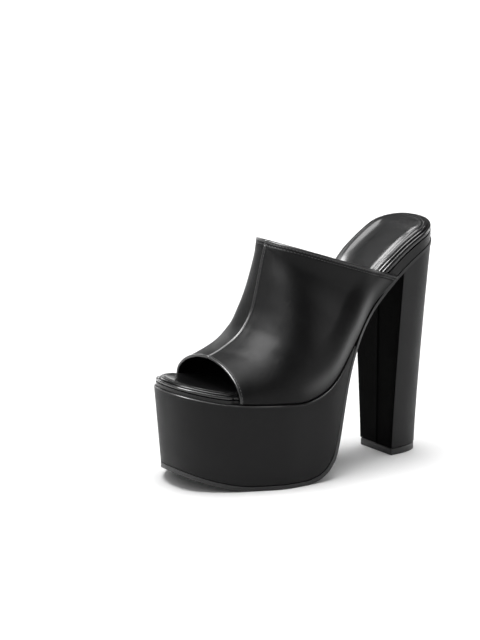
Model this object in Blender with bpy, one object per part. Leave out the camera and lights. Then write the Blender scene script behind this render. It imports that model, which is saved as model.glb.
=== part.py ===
"""Platform mule for the left foot, with a peep toe, a high platform and a block heel.

The toe points along -Y, the outer side of the foot faces +X and +Z is up.
A place along the shoe is a share of its length: 0 is the back of the heel
seat and 1 is the tip of the toe. Sizes are in metres.
"""
import math
from collections import namedtuple

import bmesh
import bpy
import numpy as np

# Length, widths and heights of the last
SHOE_LENGTH = 0.206
SEAT_WIDTH = 0.0592
BALL_WIDTH = 0.088
TOE_SWING = 0.0096
SEAT_HEIGHT = 0.1542
PLATFORM_HEIGHT = 0.0578
TOE_RISE = 0.0089
INSTEP_HEIGHT = 0.1618

# Thickness of each layer, at the heel seat and under the toes, and where along the shoe it tapers
FOOTBED_SEAT = 0.0062
FOOTBED_TOE = 0.0023
INSOLE_SEAT = 0.0036
INSOLE_TOE = 0.0024
SOCK_EDGE = 0.0009
SOCK_PAD = 0.0006
OUTSOLE_TREAD = 0.0030
OUTSOLE_SHANK = 0.0021
LAYER_TAPER_START = 0.20
LAYER_TAPER = 0.30
SOLE_TAPER_START = 0.38
SOLE_TAPER = 0.12
UPPER_WALL = 0.0020
SEAM_LAP = 0.0006
SEAM_SKIVE = 0.0080

# Sole: toe spring, taper of the platform's wall and the flat tread
TOE_SPRING = 0.0122
PLATFORM_TUCK = 0.0016
TOE_TUCK = 0.0055
TOE_TUCK_START = 0.75
TOE_SPRING_POWER = 1.8
TREAD_FRONT = 0.78
TREAD_BACK = 0.605
PLATFORM_END = 0.395

# Heel: where its breast stands, its foot on the floor and its top piece
HEEL_BREAST = 0.0354
HEEL_FOOT_WIDTH = 0.0360
HEEL_FOOT_DEPTH = 0.0291
HEEL_FOOT_POWER = 2.6
HEEL_SWEEP = 1.2
HEEL_TOP_INSET = 0.0003
TIP_THICKNESS = 0.0050
TIP_INSET = 0.0003

# Clearance between pieces, and how far the layers stand in from the outline
GAP = 0.0003
UPPER_CLEAR = 0.0005
RIM_INSET = 0.0002
PLATFORM_LEDGE = 0.0011
LEDGE_START = 0.35
LEDGE_RAMP = 0.15
SOCK_INSET = 0.0024
SEAT_DISH = 0.0022
DISH_START = 0.03
DISH_RAMP = 0.08
DISH_END = 0.62
DISH_FADE = 0.25
EDGE_ROUND = 0.0007
ROLL_INSET = 0.0009

# Outline: half widths as shares of half the seat and ball widths, and the swing to the inner side
Outline = namedtuple("Outline", "along seat ball swing")
OUTLINE = [
    Outline(0.00, 0.97, 0.000, 0.00),
    Outline(0.12, 1.00, 0.000, 0.00),
    Outline(0.21, 0.99, 0.000, 0.00),
    Outline(0.30, 1.00, 0.000, 0.00),
    Outline(0.40, 0.00, 0.780, 0.25),
    Outline(0.50, 0.00, 0.909, 0.33),
    Outline(0.60, 0.00, 0.964, 0.17),
    Outline(0.70, 0.00, 0.997, -0.13),
    Outline(0.80, 0.00, 0.960, -0.77),
    Outline(0.90, 0.00, 0.910, -1.00),
    Outline(1.00, 0.00, 0.840, -0.84),
]
HEEL_ROUND = 0.110
HEEL_ROUND_POWER = 2.3
TOE_ROUND = 0.224
TOE_ROUND_POWER = 2.42

# Feather line, where upper and footbed meet the platform: climb to the seat and lift of the toe
Feather = namedtuple("Feather", "along climb lift")
FEATHER = [
    Feather(0.0, 1.000, 0.00),
    Feather(0.1, 0.907, 0.00),
    Feather(0.2, 0.755, 0.00),
    Feather(0.3, 0.552, 0.00),
    Feather(0.4, 0.321, 0.00),
    Feather(0.5, 0.098, 0.00),
    Feather(0.6, 0.000, 0.00),
    Feather(0.7, 0.000, 0.03),
    Feather(0.8, 0.000, 0.13),
    Feather(0.9, 0.000, 0.45),
    Feather(1.0, 0.000, 1.00),
]

# Rear of the sole: how far up from the floor to the underside of the shank it has come
Rear = namedtuple("Rear", "along rise")
SOLE_REAR = [
    Rear(0.343, 1.000),
    Rear(0.370, 0.989),
    Rear(0.405, 0.920),
    Rear(0.434, 0.777),
    Rear(0.452, 0.610),
    Rear(0.468, 0.428),
    Rear(0.486, 0.256),
    Rear(0.510, 0.151),
    Rear(0.550, 0.055),
    Rear(0.605, 0.000),
]

# Upper: each row is one section, from the feather line up to the seam over the middle of the foot,
# counted from the toe opening to the topline.
# Height is a share of the way from the platform to the top of the instep, power squares the
# section's crown and full swells its sides.
Section = namedtuple("Section", "row feather crest height power full")
UPPER = [
    Section(0, 0.840, 0.845, 0.266, 1.90, 0.05),
    Section(1, 0.780, 0.790, 0.315, 2.00, 0.05),
    Section(2, 0.700, 0.735, 0.397, 2.30, 0.05),
    Section(3, 0.610, 0.694, 0.525, 2.90, 0.04),
    Section(4, 0.500, 0.6745, 0.660, 3.60, 0.03),
    Section(5, 0.400, 0.661, 0.785, 4.40, 0.02),
    Section(6, 0.300, 0.649, 0.890, 5.40, 0.01),
    Section(7, 0.200, 0.635, 1.000, 6.50, 0.00),
]
INNER_FRONT_SHIFT = 0.013
CLOSE_HEIGHT = 0.012
FREE_HEIGHT = 0.025
SEAM_SWING = 0.7
UPPER_BACK_RAMP = 0.100
UPPER_FRONT_RAMP = 0.020
UPPER_FRONT_CLEAR = 0.012

# Steps of the meshes. Steep weight draws stations to where the sole's underside climbs.
LAYER_STEPS = 56
STEEP_WEIGHT = 1.85
SECTION_HEIGHT_WEIGHT = 1.5
TURN_STEP = 0.01
PLACE_STEP = 0.005
SHARP_ANGLE = 35
MERGE_DISTANCE = 0.00001
UPPER_STEPS = 21
UPPER_COLUMNS = 18
HEEL_STEPS = 16
HEEL_LEVELS = 7


def smooth(rows, column, place):
    """Reads one column of a table at a place, on a smooth curve through its rows."""
    xs = [row[0] for row in rows]
    ys = [getattr(row, column) for row in rows]
    slopes = [(ys[i + 1] - ys[i]) / (xs[i + 1] - xs[i]) for i in range(len(xs) - 1)]
    tangents = [slopes[0]]
    for i in range(1, len(slopes)):
        before = xs[i] - xs[i - 1]
        after = xs[i + 1] - xs[i]
        tangents.append((slopes[i - 1] * after + slopes[i] * before) / (before + after))
    tangents.append(slopes[-1])
    place = min(max(place, xs[0]), xs[-1])
    i = min(int(np.searchsorted(xs, place, side="right")) - 1, len(xs) - 2)
    span = xs[i + 1] - xs[i]
    t = (place - xs[i]) / span
    return (
        (2 * t ** 3 - 3 * t ** 2 + 1) * ys[i]
        + (t ** 3 - 2 * t ** 2 + t) * span * tangents[i]
        + (3 * t ** 2 - 2 * t ** 3) * ys[i + 1]
        + (t ** 3 - t ** 2) * span * tangents[i + 1]
    )


def ease(value):
    """Eases a value from 0 to 1, flat at both ends."""
    value = min(max(value, 0.0), 1.0)
    return value * value * (3 - 2 * value)


def y_at(along):
    return SHOE_LENGTH * (0.5 - along)


def along_at(y):
    return min(max(0.5 - y / SHOE_LENGTH, 0.0), 1.0)


def half_width(along):
    """Half width of the outline, rounded off at the heel seat and at the toe."""
    seat = smooth(OUTLINE, "seat", along) * SEAT_WIDTH / 2
    ball = smooth(OUTLINE, "ball", along) * BALL_WIDTH / 2
    heel = max(1 - max(1 - along / HEEL_ROUND, 0) ** HEEL_ROUND_POWER, 0) ** (1 / HEEL_ROUND_POWER)
    toe = max(1 - max(1 - (1 - along) / TOE_ROUND, 0) ** TOE_ROUND_POWER, 0) ** (1 / TOE_ROUND_POWER)
    return (seat + ball) * heel * toe


def centre(along):
    """Middle of the outline, which swings to the inner side at the toe."""
    return smooth(OUTLINE, "swing", along) * TOE_SWING


def edge(turn, side, inset):
    """Point of the outline, moved in by inset. Turn runs from 0 at the heel to pi at the toe."""

    def point(angle):
        flip = 1 if 0 <= angle <= math.pi else -1
        along = (1 - math.cos(angle)) / 2
        return np.array([centre(along) + flip * side * half_width(along), y_at(along)])

    run = point(turn + TURN_STEP) - point(turn - TURN_STEP)
    inward = np.array([run[1], -run[0]]) * side / np.hypot(*run)
    return point(turn) + inward * inset


def turn_at(along):
    return math.acos(1 - 2 * along)


def feather(along):
    """Height of the feather line over the floor."""
    climb = smooth(FEATHER, "climb", along) * (SEAT_HEIGHT - PLATFORM_HEIGHT)
    return PLATFORM_HEIGHT + climb + smooth(FEATHER, "lift", along) * TOE_RISE


def lift(along, thickness):
    """Height that a layer of this thickness takes up on the slope of the footbed."""
    low = max(along - PLACE_STEP, 0)
    high = min(along + PLACE_STEP, 1)
    slope = (feather(high) - feather(low)) / ((high - low) * SHOE_LENGTH)
    return thickness * math.hypot(1, slope)


def between(seat, toe, along):
    """Thickness that eases from its value at the seat to its value under the toes."""
    return seat + (toe - seat) * ease((along - LAYER_TAPER_START) / LAYER_TAPER)


def tuck(along, height):
    """How far the platform's wall leans in at a height over the floor, most at the toe."""
    toe = ease((along - TOE_TUCK_START) / (1 - TOE_TUCK_START))
    foot = PLATFORM_TUCK + (TOE_TUCK - PLATFORM_TUCK) * toe
    return foot * (1 - height / feather(along))


def sole_thickness(along):
    tread = ease((along - SOLE_TAPER_START) / SOLE_TAPER)
    return OUTSOLE_SHANK + (OUTSOLE_TREAD - OUTSOLE_SHANK) * tread


def sole_bottom(along):
    """Underside of the outsole: toe spring, flat tread, steep rear and shank."""
    if along >= TREAD_FRONT:
        return TOE_SPRING * ((along - TREAD_FRONT) / (1 - TREAD_FRONT)) ** TOE_SPRING_POWER
    if along >= TREAD_BACK:
        return 0.0
    shank = feather(along) - lift(along, OUTSOLE_SHANK)
    if along >= SOLE_REAR[0].along:
        return shank * smooth(SOLE_REAR, "rise", along)
    return shank


def sole_offset(extra):
    """Line that lies one outsole thickness, and a bit extra, over the underside."""
    places = np.linspace(0, 1, 601)
    ys = np.array([y_at(place) for place in places])
    zs = np.array([sole_bottom(place) for place in places])
    run_y = np.gradient(ys)
    run_z = np.gradient(zs)
    length = np.hypot(run_y, run_z)
    thick = np.array([sole_thickness(place) + extra for place in places])
    over_y = ys + thick * run_z / length
    over_z = zs - thick * run_y / length
    order = np.argsort(over_y)
    return over_y[order], over_z[order]


SOLE_TOP = sole_offset(0.0)
PLATFORM_LOW = sole_offset(GAP)


def under_upper(along, side):
    """How far the footbed and insole stand in: more where the upper passes outside them."""
    front = UPPER[0].feather - (INNER_FRONT_SHIFT if side < 0 else 0)
    back = UPPER[-1].feather
    behind = ease((along - back) / UPPER_BACK_RAMP)
    before = ease((front + UPPER_FRONT_CLEAR - along) / UPPER_FRONT_RAMP + 1)
    cover = behind * before
    ledge = PLATFORM_LEDGE * ease((along - LEDGE_START) / LEDGE_RAMP)
    return RIM_INSET + ledge + (UPPER_WALL + UPPER_CLEAR) * cover


def section_loft(name, sections, material):
    """Closed solid through rings of points, each ring with as many points as the next."""
    mesh = bpy.data.meshes.new(name)
    bm = bmesh.new()
    rings = [[bm.verts.new(point) for point in section] for section in sections]
    count = len(rings[0])
    for ring, after in zip(rings, rings[1:]):
        for i in range(count):
            j = (i + 1) % count
            bm.faces.new((ring[i], ring[j], after[j], after[i]))
    bm.faces.new(rings[0])
    bm.faces.new(rings[-1])
    bmesh.ops.remove_doubles(bm, verts=bm.verts, dist=MERGE_DISTANCE)
    bmesh.ops.dissolve_degenerate(bm, edges=bm.edges, dist=MERGE_DISTANCE)
    bmesh.ops.triangulate(bm, faces=bm.faces)
    bmesh.ops.recalc_face_normals(bm, faces=bm.faces)
    bm.to_mesh(mesh)
    bm.free()
    return add_piece(name, mesh, material)


def add_piece(name, mesh, material):
    mesh.materials.append(material)
    mesh.shade_smooth()
    mesh.set_sharp_from_angle(angle=math.radians(SHARP_ANGLE))
    piece = bpy.data.objects.new(name, mesh)
    shoe.objects.link(piece)
    piece.parent = stand
    return piece


def leather(name, colour, roughness):
    """Material of one piece."""
    material = bpy.data.materials.new(name)
    material.use_nodes = True
    shader = material.node_tree.nodes["Principled BSDF"]
    shader.inputs["Base Color"].default_value = (*colour, 1)
    shader.inputs["Roughness"].default_value = roughness
    shader.inputs["Metallic"].default_value = 0
    return material


def layer_turns(first):
    """Stations of every layer, closer together where the outline or the sole turns."""
    turns = np.linspace(0, math.pi, 400)
    heights = np.array([sole_bottom((1 - math.cos(turn)) / 2) for turn in turns])
    climbs = np.abs(np.gradient(heights)) / SHOE_LENGTH
    measure = np.cumsum(np.abs(np.gradient(turns)) + climbs * STEEP_WEIGHT)
    even = np.linspace(measure[0], measure[-1], LAYER_STEPS + 1)
    stations = np.interp(even, measure, turns)
    return [turn for turn in stations if turn >= turn_at(first) - 0.000001]


def layer(name, first, low, high, rim, material, crown=(), hollow=()):
    """Layer of the sole between two heights.

    low and high give heights at a place along. rim lists the side from bottom
    to top as (share of the height, inset), where inset is worked out from the
    place, the side and the share. crown and hollow list points across the top
    and the underside from the outer side as (share across, rise), where rise
    is worked out from the place. They lie inside the stitched margin of the sock.
    """
    sections = []
    for turn in layer_turns(first):
        ring = []
        for side, order in ((1, rim), (-1, rim[::-1])):
            for share, inset in order:
                x, y = edge(turn, side, inset((1 - math.cos(turn)) / 2, side, share))
                place = along_at(y)
                ring.append((x, y, low(place) + share * (high(place) - low(place))))
            if side == 1:
                ring.extend(points_across(turn, high, crown))
        ring.extend(points_across(turn, low, hollow)[::-1])
        sections.append(ring)
    return section_loft(name, sections, material)


def sock_inset(place, side, share):
    return under_upper(place, side) + SOCK_INSET


def points_across(turn, surface, row):
    """Points over a surface between the two edges of the sock."""
    place = (1 - math.cos(turn)) / 2
    outer = edge(turn, 1, sock_inset(place, 1, 1))
    inner = edge(turn, -1, sock_inset(place, -1, 1))
    points = []
    for across, rise in row:
        x, y = outer + (inner - outer) * across
        points.append((x, y, surface(along_at(y)) + rise(along_at(y))))
    return points


def flat(place):
    return 0.0


def dish(place):
    """Hollow that cups the heel of the foot, and runs out towards the ball."""
    ends = ease((place - DISH_START) / DISH_RAMP) * ease((DISH_END - place) / DISH_FADE)
    return -lift(place, SEAT_DISH) * ends


def make_outsole():
    """Rubber sheet from the toe, up behind the platform and along the shank to the seat."""

    def inset(place, side, share):
        return tuck(place, sole_bottom(place)) + (EDGE_ROUND if share == 0 else 0)

    def high(place):
        return float(np.interp(y_at(place), *SOLE_TOP))

    rim = [(0.0, inset), (0.3, inset), (1.0, inset)]
    return layer("outsole", 0, sole_bottom, high, rim, RUBBER)


def make_platform():
    """Covered platform between the outsole and the feather line, thin at the waist."""

    def low(place):
        return float(np.interp(y_at(place), *PLATFORM_LOW))

    def inset(place, side, share):
        height = low(place) + share * (feather(place) - low(place))
        return tuck(place, height) + (ROLL_INSET if share == 1 else 0)

    rim = [(0.0, inset), (0.3, inset), (0.65, inset), (0.97, inset), (1.0, inset)]
    return layer("platform", PLATFORM_END, low, feather, rim, WALL_LEATHER)


def footbed_low(place):
    return feather(place) + lift(place, GAP)


def footbed_high(place):
    return footbed_low(place) + lift(place, between(FOOTBED_SEAT, FOOTBED_TOE, place))


def make_footbed():
    """Board under the insole, whose covered edge shows as the band round the heel seat."""

    def inset(place, side, share):
        return under_upper(place, side) + (0 if 0 < share < 1 else EDGE_ROUND)

    rim = [(0.0, inset), (0.25, inset), (0.75, inset), (1.0, inset)]
    return layer("footbed", 0, footbed_low, footbed_high, rim, SMOOTH_LEATHER)


def insole_low(place):
    return footbed_high(place) + lift(place, GAP)


def insole_high(place):
    return insole_low(place) + lift(place, between(INSOLE_SEAT, INSOLE_TOE, place))


def make_insole():
    """Covered insole with a rolled edge round the seat and the toe, hollowed under the heel."""

    def inset(place, side, share):
        return under_upper(place, side) + (0 if 0 < share < 1 else EDGE_ROUND)

    rim = [(0.0, inset), (0.3, inset), (0.7, inset), (1.0, inset)]
    crown = [(0.0, flat), (0.12, flat), (0.3, dish), (0.5, dish), (0.7, dish), (0.88, flat), (1.0, flat)]
    return layer("insole", 0, insole_low, insole_high, rim, SMOOTH_LEATHER, crown)


def make_sock():
    """Lining sock on the insole, dished under the heel inside its stitched margin."""

    def low(place):
        return insole_high(place) + lift(place, GAP)

    def high(place):
        return low(place) + lift(place, SOCK_EDGE)

    def pad(place):
        return dish(place) + lift(place, SOCK_PAD) * ease((place - DISH_START) / DISH_RAMP)

    crown = [(0.12, flat), (0.3, pad), (0.5, pad), (0.7, pad), (0.88, flat)]
    hollow = [(0.12, flat), (0.3, dish), (0.5, dish), (0.7, dish), (0.88, flat)]
    rim = [(0.0, sock_inset), (1.0, sock_inset)]
    return layer("sock", 0, low, high, rim, SMOOTH_LEATHER, crown, hollow)


def section_shape(power, full, count):
    """Half a section as (share of the half width, share of the height), evenly spaced."""
    angle = np.linspace(0, math.pi / 2, 200)
    height = np.sin(angle) ** (2 / power)
    width = np.cos(angle) * (1 + full * np.sin(math.pi * height))
    rise = np.diff(height) * SECTION_HEIGHT_WEIGHT
    along = np.concatenate([[0], np.cumsum(np.hypot(rise, np.diff(width)))])
    even = np.linspace(0, along[-1], count + 1)
    return np.interp(even, along, width), np.interp(even, along, height)


def upper_point(step, side, width, height):
    """Point on the outside of the upper: step runs from the toe opening to the topline."""
    place = step * (len(UPPER) - 1)
    foot = smooth(UPPER, "feather", place)
    if side < 0:
        foot -= INNER_FRONT_SHIFT * (1 - step) ** 2
    crest = smooth(UPPER, "crest", place)
    inset = under_upper(foot, side) - GAP - UPPER_WALL
    foot_x, foot_y = edge(turn_at(foot), side, inset)
    crest_x = centre(crest) * SEAM_SWING
    foot_z = feather(along_at(foot_y)) + lift(foot, GAP)
    climb = smooth(UPPER, "height", place)
    crest_z = PLATFORM_HEIGHT + climb * (INSTEP_HEIGHT - PLATFORM_HEIGHT)
    y = foot_y + (y_at(crest) - foot_y) * height
    z = foot_z + (crest_z - foot_z) * height
    below = along_at(y)
    below_x = edge(turn_at(below), side, under_upper(below, side) - GAP - UPPER_WALL)[0]
    free = ease((z - feather(below) - CLOSE_HEIGHT) / FREE_HEIGHT)
    side_x = below_x + (foot_x - below_x) * free
    return crest_x + (side_x - crest_x) * width, y, z


def upper_grid():
    """Rows of points over the outside of the upper, from the outer to the inner feather line."""
    grid = []
    for i in range(UPPER_STEPS + 1):
        step = i / UPPER_STEPS
        place = step * (len(UPPER) - 1)
        power = smooth(UPPER, "power", place)
        full = smooth(UPPER, "full", place)
        widths, heights = section_shape(power, full, UPPER_COLUMNS)
        outer = [upper_point(step, 1, w, h) for w, h in zip(widths, heights)]
        inner = [upper_point(step, -1, w, h) for w, h in zip(widths, heights)]
        grid.append(outer + inner[-2::-1])
    return np.array(grid)


def make_upper():
    """Hollow upper: two halves lapped at the seam, open at toe, topline and underneath."""
    outside = upper_grid()
    run_u = np.gradient(outside, axis=0)
    run_v = np.gradient(outside, axis=1)
    normals = np.cross(run_v, run_u)
    normals[:, 0, 2] = 0
    normals[:, -1, 2] = 0
    normals /= np.linalg.norm(normals, axis=2, keepdims=True)
    middle = UPPER_COLUMNS
    if normals[0, middle, 2] < 0:
        normals = -normals
    inside = outside - normals * UPPER_WALL
    for column in (0, -1):
        for i, point in enumerate(inside[:, column]):
            point[2] = feather(along_at(point[1])) + lift(along_at(point[1]), GAP)
    reach = np.linalg.norm(outside - outside[:, middle:middle + 1], axis=2)
    lap = SEAM_LAP * np.clip(1 - reach / SEAM_SKIVE, 0, 1)
    lapped = outside + normals * lap[:, :, None]
    rings = []
    for lapped_row, outer_row, inner_row in zip(lapped, outside, inside):
        ring = list(lapped_row[:middle + 1]) + list(outer_row[middle:]) + list(inner_row[::-1])
        rings.append(ring)
    return section_loft("upper", rings, SMOOTH_LEATHER)


def heel_plan(share, level):
    """Half width and place of the heel at a share of its depth, from the breast to the back."""
    breast_y = SHOE_LENGTH / 2 - HEEL_BREAST
    top_y = breast_y + (HEEL_BREAST - HEEL_TOP_INSET) * share
    top_x = edge(turn_at(along_at(top_y)), 1, HEEL_TOP_INSET)[0] if share < 1 else 0
    foot_y = breast_y + HEEL_FOOT_DEPTH * share
    foot_x = HEEL_FOOT_WIDTH / 2 * (1 - share ** HEEL_FOOT_POWER) ** (1 / HEEL_FOOT_POWER)
    sweep = level ** HEEL_SWEEP
    return foot_x + (top_x - foot_x) * sweep, foot_y + (top_y - foot_y) * sweep


def heel_share(i):
    return math.sin(math.pi / 2 * i / HEEL_STEPS)


def make_heel():
    """Covered block heel: flat breast, rounded back, wide under the seat."""
    sections = []
    for i in range(HEEL_STEPS + 1):
        outer = []
        top_y = heel_plan(heel_share(i), 1)[1]
        place = along_at(top_y)
        top_z = sole_bottom(place) - lift(place, GAP)
        for k in range(HEEL_LEVELS + 1):
            level = k / HEEL_LEVELS
            x, y = heel_plan(heel_share(i), level)
            outer.append((x, y, TIP_THICKNESS + GAP + level * (top_z - TIP_THICKNESS - GAP)))
        inner = [(-x, y, z) for x, y, z in reversed(outer)]
        sections.append(outer + inner)
    return section_loft("heel", sections, WALL_LEATHER)


def make_heel_tip():
    """Hard top piece under the heel, a touch smaller than the heel's foot."""
    breast_y = SHOE_LENGTH / 2 - HEEL_BREAST
    middle_y = breast_y + HEEL_FOOT_DEPTH / 2
    sections = []
    for i in range(HEEL_STEPS + 1):
        x, y = heel_plan(heel_share(i), 0)
        x *= 1 - 2 * TIP_INSET / HEEL_FOOT_WIDTH
        y = middle_y + (y - middle_y) * (1 - 2 * TIP_INSET / HEEL_FOOT_DEPTH)
        sections.append([(x, y, 0), (x, y, TIP_THICKNESS), (-x, y, TIP_THICKNESS), (-x, y, 0)])
    return section_loft("heel_tip", sections, RUBBER)


def stand_on_origin(pieces):
    """Moves the shoe so that the middle of its box's underside is the origin."""
    corners = np.array([vertex.co for piece in pieces for vertex in piece.data.vertices])
    low = corners.min(axis=0)
    high = corners.max(axis=0)
    stand.location = (-(low[0] + high[0]) / 2, -(low[1] + high[1]) / 2, -low[2])


for old in list(bpy.data.objects):
    bpy.data.objects.remove(old, do_unlink=True)
shoe = bpy.data.collections.new("platform_mule")
bpy.context.scene.collection.children.link(shoe)
stand = bpy.data.objects.new("stand", None)
shoe.objects.link(stand)

SMOOTH_LEATHER = leather("smooth_leather", (0.012, 0.012, 0.013), 0.38)
WALL_LEATHER = leather("wall_leather", (0.018, 0.018, 0.019), 0.45)
RUBBER = leather("rubber", (0.02, 0.02, 0.02), 0.55)

stand_on_origin([
    make_outsole(),
    make_platform(),
    make_footbed(),
    make_insole(),
    make_sock(),
    make_upper(),
    make_heel(),
    make_heel_tip(),
])
bpy.context.view_layer.update()
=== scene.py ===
import math

import bmesh
import bpy
import numpy as np
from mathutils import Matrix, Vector


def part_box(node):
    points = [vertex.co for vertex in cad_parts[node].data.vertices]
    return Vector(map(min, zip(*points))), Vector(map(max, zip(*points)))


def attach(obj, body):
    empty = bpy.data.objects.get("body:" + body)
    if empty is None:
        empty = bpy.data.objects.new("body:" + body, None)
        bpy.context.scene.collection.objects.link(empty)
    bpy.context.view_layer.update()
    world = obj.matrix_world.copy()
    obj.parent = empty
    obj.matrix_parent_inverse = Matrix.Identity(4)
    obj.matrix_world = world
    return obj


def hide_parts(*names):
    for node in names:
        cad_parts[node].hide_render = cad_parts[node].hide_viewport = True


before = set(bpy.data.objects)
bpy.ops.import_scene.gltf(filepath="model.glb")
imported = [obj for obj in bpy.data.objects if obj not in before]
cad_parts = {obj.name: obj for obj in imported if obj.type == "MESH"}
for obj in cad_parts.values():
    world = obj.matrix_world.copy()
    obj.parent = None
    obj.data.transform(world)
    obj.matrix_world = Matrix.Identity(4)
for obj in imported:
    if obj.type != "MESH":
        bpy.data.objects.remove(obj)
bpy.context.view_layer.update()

# OUTSOLE
# A sheet of black rubber with a fine matt grain, cut to the outline of the shoe.
# It is glued flat under the ball, springs up at the toe, climbs the back of the platform
# and runs on under the shank to the heel seat.
SHOE_LENGTH = 0.206
SEAT_WIDTH = 0.0592
BALL_WIDTH = 0.088
TOE_SWING = 0.0096
SEAT_HEIGHT = 0.1542
PLATFORM_HEIGHT = 0.0578
TOE_RISE = 0.0089
HEEL_BREAST = 0.0354
OUTLINE = {
    "along": [0.00, 0.12, 0.21, 0.30, 0.40, 0.50, 0.60, 0.70, 0.80, 0.90, 1.00],
    "seat": [0.97, 1.00, 0.99, 1.00, 0.00, 0.00, 0.00, 0.00, 0.00, 0.00, 0.00],
    "ball": [0.0, 0.0, 0.0, 0.0, 0.780, 0.909, 0.964, 0.997, 0.960, 0.910, 0.840],
    "swing": [0.0, 0.0, 0.0, 0.0, 0.25, 0.33, 0.17, -0.13, -0.77, -1.00, -0.84],
}
HEEL_ROUND = 0.110
HEEL_ROUND_POWER = 2.3
TOE_ROUND = 0.224
TOE_ROUND_POWER = 2.42
FEATHER = {
    "along": [0.0, 0.1, 0.2, 0.3, 0.4, 0.5, 0.6, 0.7, 0.8, 0.9, 1.0],
    "climb": [1.000, 0.907, 0.755, 0.552, 0.321, 0.098, 0.0, 0.0, 0.0, 0.0, 0.0],
    "lift": [0.0, 0.0, 0.0, 0.0, 0.0, 0.0, 0.0, 0.03, 0.13, 0.45, 1.00],
}
SOLE_REAR = {
    "along": [0.343, 0.370, 0.405, 0.434, 0.452, 0.468, 0.486, 0.510, 0.550, 0.605],
    "rise": [1.000, 0.989, 0.920, 0.777, 0.610, 0.428, 0.256, 0.151, 0.055, 0.000],
}
OUTSOLE_TREAD = 0.0030
OUTSOLE_SHANK = 0.0021
OUTSOLE_ROUND = 0.0007
OUTSOLE_PROUD = 0.0003
TOE_SPRING = 0.0122
TOE_SPRING_POWER = 1.8
TREAD_FRONT = 0.78
TREAD_BACK = 0.605
SHANK_END = 0.38
TREAD_RAMP = 0.12
PLATFORM_TUCK = 0.0016
TOE_TUCK = 0.0055
TUCK_START = 0.75
SOLE_STATIONS = 230
STEEP_WEIGHT = 9.0
SLOPE_REACH = 0.005
WELD = 0.000002
GAP = 0.0003
RUBBER_COLOUR = (0.010, 0.010, 0.0105)

# Where the middle of the heel and its breast lie tells how far the shoe stands from its own axes
heel_low, heel_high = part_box("heel")
SHIFT = np.array([
    (heel_low.x + heel_high.x) / 2,
    heel_low.y - (SHOE_LENGTH / 2 - HEEL_BREAST),
    0.0,
])


def curve(table, column, key="along"):
    """Smooth curve through one column of a table, as a function of the place."""
    xs = np.array(table[key], float)
    ys = np.array(table[column], float)
    span = np.diff(xs)
    slope = np.diff(ys) / span
    inner = (slope[:-1] * span[1:] + slope[1:] * span[:-1]) / (span[1:] + span[:-1])
    tangent = np.concatenate([slope[:1], inner, slope[-1:]])
    places = np.linspace(xs[0], xs[-1], 2001)
    i = np.clip(np.searchsorted(xs, places, side="right") - 1, 0, len(xs) - 2)
    t = (places - xs[i]) / span[i]
    values = (
        (2 * t ** 3 - 3 * t ** 2 + 1) * ys[i]
        + (t ** 3 - 2 * t ** 2 + t) * span[i] * tangent[i]
        + (3 * t ** 2 - 2 * t ** 3) * ys[i + 1]
        + (t ** 3 - t ** 2) * span[i] * tangent[i + 1]
    )
    return lambda place: np.interp(place, places, values)


def ease(value):
    """Eases from 0 to 1, flat at both ends."""
    value = np.clip(value, 0.0, 1.0)
    return value * value * (3 - 2 * value)


seat_share = curve(OUTLINE, "seat")
ball_share = curve(OUTLINE, "ball")
swing_share = curve(OUTLINE, "swing")
climb_share = curve(FEATHER, "climb")
lift_share = curve(FEATHER, "lift")
rear_share = curve(SOLE_REAR, "rise")


def y_at(along):
    return SHOE_LENGTH * (0.5 - along)


def along_at(y):
    return np.clip(0.5 - y / SHOE_LENGTH, 0.0, 1.0)


def half_width(along):
    """Half width of the shoe's outline, rounded off at the seat and at the toe."""
    width = seat_share(along) * SEAT_WIDTH / 2 + ball_share(along) * BALL_WIDTH / 2
    to_seat = np.maximum(1 - along / HEEL_ROUND, 0)
    to_toe = np.maximum(1 - (1 - along) / TOE_ROUND, 0)
    seat = np.maximum(1 - to_seat ** HEEL_ROUND_POWER, 0) ** (1 / HEEL_ROUND_POWER)
    toe = np.maximum(1 - to_toe ** TOE_ROUND_POWER, 0) ** (1 / TOE_ROUND_POWER)
    return width * seat * toe


def centre(along):
    """Middle of the outline, which swings to the inner side at the toe."""
    return swing_share(along) * TOE_SWING


def edge(turn, side, inset):
    """Points of the outline, moved in by inset. Turn runs from 0 at the seat to pi at the toe."""

    def point(angle):
        flip = np.where((angle >= 0) & (angle <= math.pi), 1, -1)
        along = (1 - np.cos(angle)) / 2
        return centre(along) + flip * side * half_width(along), y_at(along)

    step = 0.01
    ahead = point(turn + step)
    behind = point(turn - step)
    run_x = ahead[0] - behind[0]
    run_y = ahead[1] - behind[1]
    length = np.hypot(run_x, run_y)
    x, y = point(turn)
    return x + run_y / length * side * inset, y - run_x / length * side * inset


def feather(along):
    """Height of the line where the upper and the footbed meet the platform."""
    climb = climb_share(along) * (SEAT_HEIGHT - PLATFORM_HEIGHT)
    return PLATFORM_HEIGHT + climb + lift_share(along) * TOE_RISE


def lift(along, thickness):
    """Height that a layer of this thickness takes up on the slope of the footbed."""
    low = np.maximum(along - SLOPE_REACH, 0)
    high = np.minimum(along + SLOPE_REACH, 1)
    slope = (feather(high) - feather(low)) / ((high - low) * SHOE_LENGTH)
    return thickness * np.hypot(1, slope)


def tuck(along, height):
    """How far the wall of the sole leans in at a height over the floor, most at the toe."""
    to_toe = ease((along - TUCK_START) / (1 - TUCK_START))
    foot = PLATFORM_TUCK + (TOE_TUCK - PLATFORM_TUCK) * to_toe
    return foot * (1 - height / feather(along))


def sole_bottom(along):
    """Underside of the outsole: toe spring, flat tread, steep rear and shank."""
    spring = np.clip((along - TREAD_FRONT) / (1 - TREAD_FRONT), 0, 1) ** TOE_SPRING_POWER
    shank = feather(along) - lift(along, OUTSOLE_SHANK)
    rear = shank * rear_share(along)
    return np.where(along >= TREAD_BACK, TOE_SPRING * spring, rear)


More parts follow.
